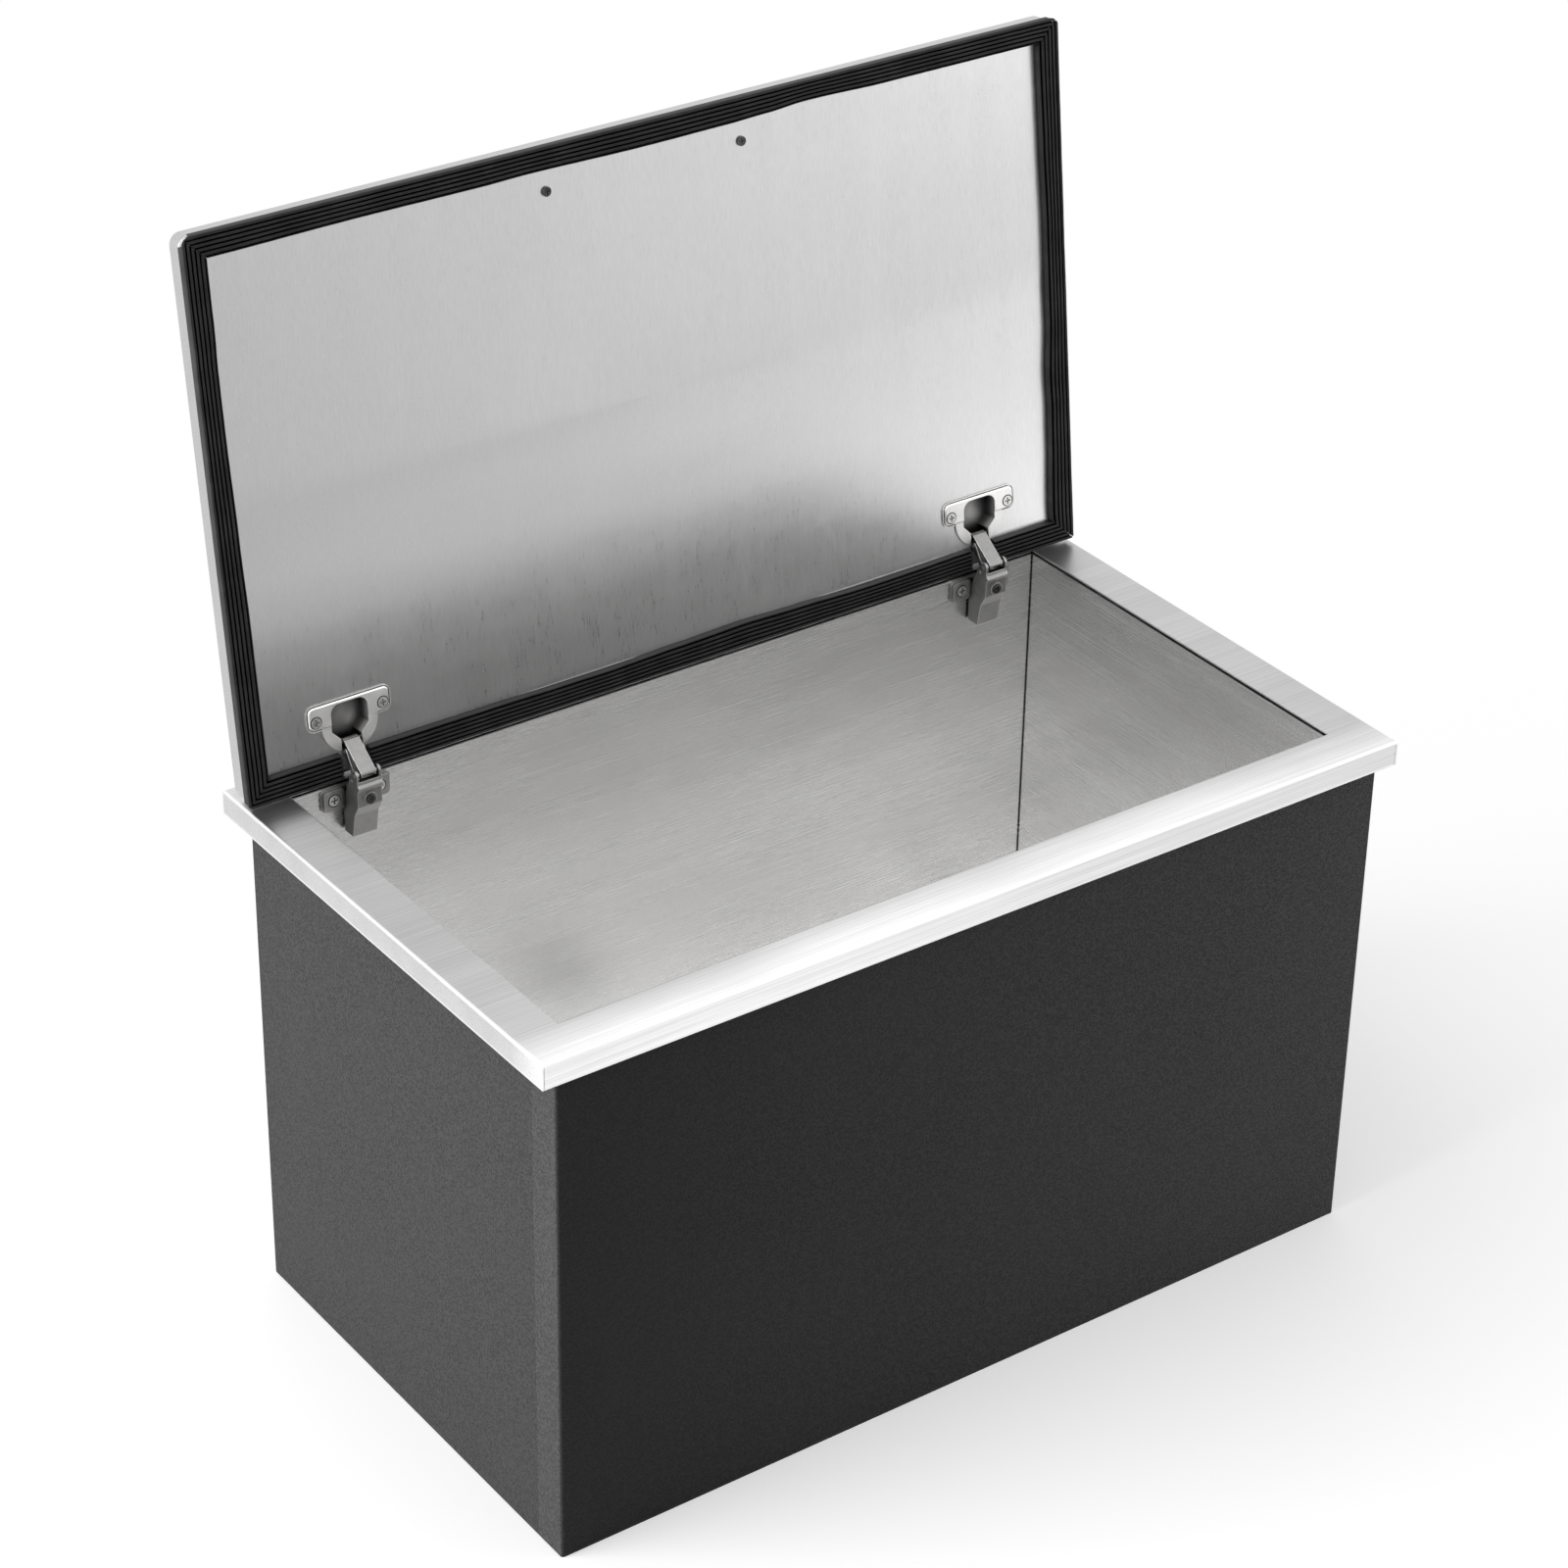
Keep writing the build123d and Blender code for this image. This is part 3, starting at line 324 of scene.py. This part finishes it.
# Each finish gets painted highlights on its edges and painted shade in its creases
strap_nickel = plated("strap_nickel", 0.3, 0.42, reach=0.006, shine=0.55)
screw_dark = plated("screw_dark", 0.08, 0.4, reach=0.0025, bend=0.0002)
nickel_dull = plated("nickel_dull", 0.42, 0.36, reach=0.006, shine=0.4)
screw_metal = plated("screw_metal", 0.8, 0.3, reach=0.0025, bend=0.0002, dark=0.35, clear=0.9)
dress(strap_nickel, "outer_link_left", "outer_link_right", "hinge_arm_left", "hinge_arm_right")
dress(nickel_dull, "inner_link_left", "inner_link_right", "mounting_plate_left", "mounting_plate_right")
dress(screw_metal, "arm_pins", "plate_screws", "cup_pins", "cup_screws")
dress(screw_dark, "arm_screws", "handle_screws")


# Black closed cell foam of the jacket, with a fine leathery grain
def foam(name, painted_light_drift):
    """When set, the board is a lighter copy with painted light, and painted shade darkens it towards its left
    end on the faces along its length.
    """
    g = Graph(name)
    pebbles = g.cells(g.place((700, 700, 700)), 1.0)
    creases = g.noise(g.place((420, 420, 420)), 1.0, 4, 0.6, 0.6)
    cloud = g.noise(g.place((6, 6, 6)), 1.0, 4, 0.55)
    grain = g.math("ADD", g.math("MULTIPLY", pebbles, 0.6), g.math("MULTIPLY", creases, 0.5))
    low = [min(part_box(n)[0][i] for n in ("jacket_front", "jacket_rear")) for i in range(3)]
    high = [max(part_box(n)[1][i] for n in ("jacket_front", "jacket_rear")) for i in range(3)]
    near_edge = g.box_edges(low, high, 0.0025)
    # Painted light: the front board's copy has its tones raised 1.3 times
    lift = 1.3 if painted_light_drift else 1.0
    shadow, light, pebble = [
        (grey * lift, grey * lift, (grey + 0.001) * lift, 1) for grey in (0.03, 0.038, 0.07)
    ]
    tone = g.ramp(cloud, (0.3, shadow), (0.7, light))
    speck = g.mix(g.span(grain, 0.42, 0.66), tone, pebble)
    # Painted shade towards the left end of the faces along the board's length
    if painted_light_drift:
        across = g.math("ADD", g.split(g.place())["X"], g.math("MULTIPLY", cloud, 0.05))
        facing = g.math("ABSOLUTE", g.split(g.coords("Normal"))["Y"], 0.0)
        share = g.math("MULTIPLY", g.span(across, -0.32, 0.36, 0.74, 0.0), facing)
        speck = g.mix(share, speck, rgb(0.006))
    colour = g.mix(g.math("MULTIPLY", near_edge, 0.4), speck, rgb(0.065))
    g.put(g.shader.inputs["Base Color"], colour)
    g.shader.inputs["Specular IOR Level"].default_value = 0.08
    g.put(g.shader.inputs["Roughness"], g.span(grain, 0.2, 0.8, 0.5, 0.68))
    g.put(g.shader.inputs["Normal"], g.bump(grain, 0.6, 0.0005))
    return g.material


dress(foam("jacket_foam", False), "jacket_rear", "jacket_left", "jacket_right", "jacket_bottom")
# The front board's foam has painted light and shade
dress(foam("jacket_foam_front_painted_light", True), "jacket_front")


# Black rubber of the gasket and of the drain washer
def rubber(name, tone, rough, gloss):
    g = Graph(name)
    dust = g.noise(g.place((60, 60, 60)), 1.0, 4, 0.6)
    fine = g.noise(g.place((900, 900, 900)), 1.0, 3, 0.6)
    # Painted shade: the grooves and creases darken to near black
    unshaded = g.math("POWER", g.shade(0.003), 3.0)
    base = g.ramp(dust, (0.35, (tone, tone, tone)), (0.7, (tone * 1.7, tone * 1.7, tone * 1.75)))
    g.put(g.shader.inputs["Base Color"], g.mix(unshaded, rgb(0.0005), base))
    g.shader.inputs["Specular IOR Level"].default_value = gloss
    g.put(g.shader.inputs["Roughness"], g.span(dust, 0.3, 0.7, rough - 0.06, rough + 0.08))
    g.put(g.shader.inputs["Normal"], g.bump(fine, 0.2, 0.0001))
    return g.material


gasket_rubber = rubber("gasket_rubber", 0.032, 0.4, 0.1)
washer_rubber = rubber("washer_rubber", 0.012, 0.6, 0.3)
dress(gasket_rubber, "gasket_front", "gasket_left", "gasket_right")
dress(gasket_rubber, "gasket_back_left", "gasket_back_middle", "gasket_back_right")
dress(washer_rubber, "drain_washer")


# Places on the open lid: x across, s up from its hinge edge, n in from the gasket's face
rim_low, rim_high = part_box("rim_flange")
lean = math.radians(7.12)
lid_root = Vector((0, rim_high.y - 0.036, rim_high.z + 0.003))
lid_up = Vector((0, math.sin(lean), math.cos(lean)))
lid_in = Vector((0, math.cos(lean), -math.sin(lean)))


def on_lid(x, s, n):
    return lid_root + Vector((x, 0, 0)) + lid_up * s + lid_in * n


# The cups get painted shade, darker deep in their pocket
face = lid_root.dot(lid_in)
nickel = plated(
    "nickel_plate", 0.94, 0.36, reach=0.014, dark=0.32, clear=0.9, deep=(lid_in, face + 0.0065, face + 0.011),
)


# Pieces made here in place of the frame's
def make_piece(name, body, material, verts, faces, sharp=35.0):
    mesh = bpy.data.meshes.new(name)
    mesh.from_pydata([tuple(v) for v in verts], [], faces)
    mesh.validate()
    build = bmesh.new()
    build.from_mesh(mesh)
    bmesh.ops.recalc_face_normals(build, faces=build.faces)
    build.to_mesh(mesh)
    build.free()
    mesh.shade_smooth()
    mesh.set_sharp_from_angle(angle=math.radians(sharp))
    mesh.materials.append(material)
    piece = bpy.data.objects.new(name, mesh)
    scene.collection.objects.link(piece)
    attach(piece, body)
    return piece


def curve_through(points):
    """A smooth function of one number through a few (place, value) pairs."""
    def value(x):
        if x <= points[0][0]:
            return points[0][1]
        for (a, u), (b, v) in zip(points, points[1:]):
            if x <= b:
                share = (x - a) / (b - a)
                return u + (v - u) * share * share * (3 - 2 * share)
        return points[-1][1]
    return value


# Section of the gasket, as distance in from its outer edge and depth below its face
strip_width = 0.0165


def rib_section():
    edges = [0.0, 2.9, 5.8, 8.7, 11.6, 14.6]
    crown = [(0.0, 0.25), (0.12, 0.05), (0.4, 0.0), (0.5, 0.12), (0.6, 0.0), (0.88, 0.05), (1.0, 0.25)]
    points = [(0.0, 5.5), (0.0, 1.2), (0.15, 0.6)]
    for left, right in zip(edges, edges[1:]):
        for share, depth in crown:
            points.append((left + 0.3 + (right - left - 1.1) * share, depth))
        points += [(right - 0.7, 2.6), (right + 0.05, 2.6)]
    points += [(14.9, 1.1), (15.3, 0.7), (15.8, 0.9), (16.3, 3.0), (16.5, 5.5)]
    return [(w / 1000, n / 1000) for w, n in points]


def gasket_strip(name, node, place, start, end, wave, count):
    """A ribbed strip. place(p, w, n) gives a point from the way along, the way in and the depth, start(w) and
    end(w) give its mitred ends, and wave(p) widens it."""
    section = rib_section()
    verts, faces = [], []
    for i in range(count + 1):
        share = i / count
        for w, n in section:
            a, b = start(w), end(w)
            p = a + (b - a) * share
            lift = 0.00022 * noise(Vector((p * 30, w * 20, 3.7))) * (1 if n < 0.004 else 0)
            across = w * (1 + wave(p) / strip_width) + 0.00008 * noise(Vector((p * 160, w * 90, 1.3)))
            verts.append(place(p, max(across, 0.0), max(n + lift, 0.0)))
    size = len(section)
    for i in range(count):
        for k in range(size):
            j = (k + 1) % size
            faces.append((i * size + k, i * size + j, (i + 1) * size + j, (i + 1) * size + k))
    faces.append(tuple(range(size)))
    faces.append(tuple(count * size + k for k in reversed(range(size))))
    piece = make_piece(name, "lid", gasket_rubber, verts, faces, 28)
    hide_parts(node)


def mitre(w, round_off=0.006):
    """Where a strip's line at depth w meets the mitre, on a frame whose outer corner is rounded."""
    if w >= round_off:
        return w
    return max(w, round_off - math.sqrt(round_off**2 - (round_off - w) ** 2))


def wave_through(*points):
    """A wave in metres from (place in mm, width added in mm) pairs."""
    return curve_through([(a / 1000, b / 1000) for a, b in points])


# The gasket's half width and length, how far its front strip stands in, the hinges' places, half the gap
# at each hinge and the gap at each mitre
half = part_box("gasket_front")[1].x
long = 0.371
front_in = 0.003
hinge_x = 0.2475
cut = 0.01
end_gap = 0.0003

# How the strips' inner edges wander
front_wave = wave_through(
    (-326, 0), (-300, 0), (-210, -0.9), (-120, -0.4), (-90, -0.9), (0, 0.4),
    (60, 0), (90, -0.9), (122, -2.6), (180, -1.1), (300, -0.9), (326, 0),
)
left_wave = wave_through(
    (0, 0), (25, 0.5), (120, 0.4), (178, -0.5), (246, -1.3), (280, -1.2), (314, -0.3), (371, 0),
)
right_wave = wave_through(
    (0, 0.5), (25, 2.1), (76, 0.7), (100, 0.3), (120, 1.0),
    (161, -0.8), (230, -1.0), (280, -0.1), (348, 0.7), (371, 0.2),
)
back_wave = wave_through(
    (-240, -0.6), (-150, -0.8), (-90, -1.5), (-60, -1.7), (0, -0.4),
    (50, 0.6), (90, -0.6), (150, -2.2), (180, -2.0), (240, -1.0),
)
no_wave = wave_through((-326, 0), (326, 0))


def side_start(w):
    return mitre(w, 0.003) + end_gap


def side_end(w):
    return long - front_in - mitre(w) - end_gap


gasket_strip(
    "gasket_front_strip", "gasket_front", lambda p, w, n: on_lid(p, long - front_in - w, n),
    lambda w: -half + mitre(w) + end_gap, lambda w: half - mitre(w) - end_gap, front_wave, 180,
)
gasket_strip(
    "gasket_left_strip", "gasket_left", lambda p, w, n: on_lid(-half + w, p, n),
    side_start, side_end, left_wave, 110,
)
gasket_strip(
    "gasket_right_strip", "gasket_right", lambda p, w, n: on_lid(half - w, p, n),
    side_start, side_end, right_wave, 110,
)
gasket_strip(
    "gasket_back_strip_left", "gasket_back_left", on_lid,
    lambda w: -half + side_start(w), lambda w: -hinge_x - cut, no_wave, 24,
)
gasket_strip(
    "gasket_back_strip_middle", "gasket_back_middle", on_lid,
    lambda w: -hinge_x + cut, lambda w: hinge_x - cut, back_wave, 130,
)
gasket_strip(
    "gasket_back_strip_right", "gasket_back_right", on_lid,
    lambda w: hinge_x + cut, lambda w: half - side_start(w), no_wave, 24,
)


# Hinge cups: the plate's stepped edge and the straight walls of the pocket are added to the turned cup.
# These sizes are in millimetres, x from the hinge's middle, s and n as on the lid
wing_x = 25
wing_low = 39.95
wing_high = 47.45
wing_corner = 5
wing_top = 4.5
panel_depth = 5.5
plate_in = 1
mouth_half = 13.25
mouth_corner = 6.5
mouth_high = 43.2
mouth_low = 31.5
throat_half = 7.5
throat_top = 25.5
throat_end = 18.6
pocket_floor = 15.4
pocket_sheet = 0.2


def arc(cx, cy, radius, start, end, steps=6):
    turn = [math.radians(start + (end - start) * k / steps) for k in range(steps + 1)]
    return [(cx + radius * math.cos(a), cy + radius * math.sin(a)) for a in turn]


def moved_out(points, distance):
    """An open line of points moved sideways to its right."""
    result = []
    for k, (x, y) in enumerate(points):
        before, after = points[max(k - 1, 0)], points[min(k + 1, len(points) - 1)]
        dx, dy = after[0] - before[0], after[1] - before[1]
        size = math.hypot(dx, dy)
        result.append((x + dy / size * distance, y - dx / size * distance))
    return result


def band(build, points, inside, outside, top, bottom, place):
    """A strip of rectangular section along an open line of points."""
    rings = []
    for (a, b), (c, d) in zip(moved_out(points, inside), moved_out(points, outside)):
        corners = ((a, b, top), (c, d, top), (c, d, bottom), (a, b, bottom))
        rings.append([build.verts.new(place(*at)) for at in corners])
    for first, second in zip(rings, rings[1:]):
        for k in range(4):
            build.faces.new((first[k], first[k - 1], second[k - 1], second[k]))
    build.faces.new(rings[0])
    build.faces.new(reversed(rings[-1]))


def hinge_cup(side, node):
    def place(x, s, n):
        return on_lid(side * hinge_x + x / 1000, s / 1000, n / 1000)

    build = bmesh.new()
    build.from_mesh(nodes[node].data)
    bmesh.ops.remove_doubles(build, verts=build.verts, dist=1e-6)
    # The wing plate's edge moves in, which leaves the step round it
    for vert in build.verts:
        at = vert.co - place(0, 0, 0)
        x, s, n = at.x * 1000, at.dot(lid_up) * 1000, at.dot(lid_in) * 1000
        dx = x - min(max(x, -wing_x), wing_x)
        ds = s - min(max(s, wing_low), wing_high)
        reach = math.hypot(dx, ds)
        if n < panel_depth + 0.1 and wing_corner - 0.9 < reach < wing_corner + 0.05:
            vert.co -= (Vector((dx, 0, 0)) + lid_up * ds) / reach * plate_in / 1000

    # The flange is trimmed above the plate
    whole = list(build.verts) + list(build.edges) + list(build.faces)
    trim = place(0, wing_high + wing_corner - plate_in + 0.01, 0)
    cut_off = bmesh.ops.bisect_plane(build, geom=whole, plane_co=trim, plane_no=lid_up, clear_outer=True)
    rim = [e for e in cut_off["geom_cut"] if isinstance(e, bmesh.types.BMEdge)]
    bmesh.ops.holes_fill(build, edges=rim, sides=0)

    wings = arc(-wing_x, wing_low, wing_corner, 270, 180) + arc(-wing_x, wing_high, wing_corner, 180, 90)
    wings += arc(wing_x, wing_high, wing_corner, 90, 0) + arc(wing_x, wing_low, wing_corner, 0, -90)
    foot = wing_low - wing_corner
    step = [(-18, foot)] + wings + [(18, foot)]
    band(build, step, 0.35, -0.35, wing_top, panel_depth - 0.02, place)

    corner_x = mouth_half - mouth_corner
    mouth = [(-throat_half, throat_end), (-throat_half, throat_top), (-mouth_half, mouth_low)]
    mouth += arc(-corner_x, mouth_high, mouth_corner, 180, 90)
    mouth += arc(corner_x, mouth_high, mouth_corner, 90, 0)
    mouth += [(mouth_half, mouth_low), (throat_half, throat_top), (throat_half, throat_end)]
    band(build, mouth, 0.0, -0.3, panel_depth - 0.05, pocket_floor, place)
    top = [build.verts.new(place(x, s, pocket_floor - pocket_sheet)) for x, s in mouth]
    bottom = [build.verts.new(place(x, s, pocket_floor)) for x, s in mouth]
    build.faces.new(top)
    build.faces.new(reversed(bottom))
    for k in range(len(mouth)):
        build.faces.new((top[k], top[k - 1], bottom[k - 1], bottom[k]))
    bmesh.ops.recalc_face_normals(build, faces=build.faces)
    mesh = bpy.data.meshes.new(node + "_piece")
    build.to_mesh(mesh)
    build.free()
    if "custom_normal" in mesh.attributes:
        mesh.attributes.remove(mesh.attributes["custom_normal"])
    mesh.shade_smooth()
    mesh.set_sharp_from_angle(angle=math.radians(25))
    mesh.materials.clear()
    mesh.materials.append(nickel)
    piece = bpy.data.objects.new(node + "_piece", mesh)
    scene.collection.objects.link(piece)
    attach(piece, "lid")
    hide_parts(node)


hinge_cup(-1, "hinge_cup_left")
hinge_cup(1, "hinge_cup_right")


# Pale rigid foam inside the lid
def core():
    g = Graph("core_foam")
    cells = g.cells(g.place((500, 500, 500)), 1.0)
    cloud = g.noise(g.place((30, 30, 30)), 1.0, 3, 0.5)
    mixed = g.math("ADD", g.math("MULTIPLY", cells, 0.5), g.math("MULTIPLY", cloud, 0.5))
    g.put(g.shader.inputs["Base Color"], g.ramp(mixed, (0.3, (0.6, 0.55, 0.4)), (0.7, (0.72, 0.68, 0.55))))
    g.put(g.shader.inputs["Roughness"], g.span(cells, 0.0, 1.0, 0.75, 0.95))
    g.put(g.shader.inputs["Normal"], g.bump(cells, 0.5, 0.0005))
    return g.material


dress(core(), "lid_core")


# Floor, backdrop and light
def paper(name, tone):
    """A pale paper floor: white where it is seen far from the object, and lit and shaded near it."""
    g = Graph(name)
    cloud = g.noise(g.place((0.7, 0.7, 0.7)), 1.0, 2, 0.5)
    g.put(g.shader.inputs["Base Color"], g.ramp(cloud, (0.2, rgb(tone)), (0.8, rgb(tone + 0.01))))
    g.shader.inputs["Roughness"].default_value = 0.9
    path = g.tree.nodes.new("ShaderNodeLightPath").outputs
    mirrored = g.math("MAXIMUM", path["Is Glossy Ray"], path["Is Transmission Ray"])
    seen = g.math("MAXIMUM", path["Is Camera Ray"], mirrored)
    glow = g.tree.nodes.new("ShaderNodeEmission")
    glow.inputs["Color"].default_value = (1, 1, 1, 1)
    g.tree.links.new(g.math("MULTIPLY", seen, 0.33), glow.inputs["Strength"])
    lit = g.tree.nodes.new("ShaderNodeAddShader")
    g.tree.links.new(g.shader.outputs["BSDF"], lit.inputs[0])
    g.tree.links.new(glow.outputs[0], lit.inputs[1])
    white = g.tree.nodes.new("ShaderNodeEmission")
    white.inputs["Color"].default_value = (1, 1, 1, 1)
    white.inputs["Strength"].default_value = 1.0
    length = g.tree.nodes.new("ShaderNodeVectorMath")
    length.operation = "LENGTH"
    g.tree.links.new(g.place((1, 1, 0)), length.inputs[0])
    far = g.math("MULTIPLY", g.span(length.outputs["Value"], 0.45, 1.1), seen)
    both = g.tree.nodes.new("ShaderNodeMixShader")
    g.tree.links.new(far, both.inputs[0])
    g.tree.links.new(lit.outputs[0], both.inputs[1])
    g.tree.links.new(white.outputs[0], both.inputs[2])
    output = [n for n in g.tree.nodes if n.type == "OUTPUT_MATERIAL"][0]
    g.tree.links.new(both.outputs[0], output.inputs["Surface"])
    return g.material


floor_mesh = bpy.data.meshes.new("floor")
floor_mesh.from_pydata([(-12, -12, 0), (12, -12, 0), (12, 12, 0), (-12, 12, 0)], [], [(0, 1, 2, 3)])
floor = bpy.data.objects.new("floor", floor_mesh)
floor_mesh.materials.append(paper("floor_paper", 0.9))
scene.collection.objects.link(floor)


def panel_light(name, place, aim, width, height, power):
    data = bpy.data.lights.new(name, "AREA")
    data.shape = "RECTANGLE"
    data.size = width
    data.size_y = height
    data.energy = power
    lamp = bpy.data.objects.new(name, data)
    lamp.location = place
    lamp.rotation_euler = (Vector(aim) - Vector(place)).to_track_quat("-Z", "Y").to_euler()
    scene.collection.objects.link(lamp)


panel_light("lamp_top", (0.0, 0.1, 3.0), (0, 0.05, 0.4), 5.0, 5.0, 72)
panel_light("lamp_left", (-2.8, 0.5, 1.2), (0, 0.1, 0.2), 2.2, 2.2, 86)
panel_light("lamp_right", (1.9, -0.9, 0.9), (0.3, -0.1, 0.25), 1.2, 1.2, 9)


def studio_world():
    """A dim light on every surface, and a white surrounding where it is seen or mirrored."""
    world = bpy.data.worlds.new("world")
    world.use_nodes = True
    tree = world.node_tree
    tree.nodes.clear()
    ambient = tree.nodes.new("ShaderNodeBackground")
    ambient.inputs["Color"].default_value = rgb(1)
    ambient.inputs["Strength"].default_value = 0.07
    white = tree.nodes.new("ShaderNodeBackground")
    white.inputs["Color"].default_value = rgb(1)

    # Less bright straight overhead, so that metal seen from above keeps its tone
    way = tree.nodes.new("ShaderNodeTexCoord")
    height = tree.nodes.new("ShaderNodeSeparateXYZ")
    tree.links.new(way.outputs["Generated"], height.inputs[0])
    overhead = tree.nodes.new("ShaderNodeMapRange")
    overhead.inputs["From Min"].default_value = 0.8
    overhead.inputs["From Max"].default_value = 0.95
    overhead.inputs["To Min"].default_value = 1.0
    overhead.inputs["To Max"].default_value = 0.25
    tree.links.new(height.outputs["Z"], overhead.inputs["Value"])
    tree.links.new(overhead.outputs["Result"], white.inputs["Strength"])

    path = tree.nodes.new("ShaderNodeLightPath")
    seen = path.outputs["Is Camera Ray"]
    for kind in ("Is Glossy Ray", "Is Transmission Ray"):
        either = tree.nodes.new("ShaderNodeMath")
        either.operation = "MAXIMUM"
        tree.links.new(seen, either.inputs[0])
        tree.links.new(path.outputs[kind], either.inputs[1])
        seen = either.outputs[0]
    blend = tree.nodes.new("ShaderNodeMixShader")
    tree.links.new(seen, blend.inputs[0])
    tree.links.new(ambient.outputs[0], blend.inputs[1])
    tree.links.new(white.outputs[0], blend.inputs[2])
    out = tree.nodes.new("ShaderNodeOutputWorld")
    tree.links.new(blend.outputs[0], out.inputs[0])
    return world


scene.world = studio_world()
scene.view_settings.view_transform = "Standard"
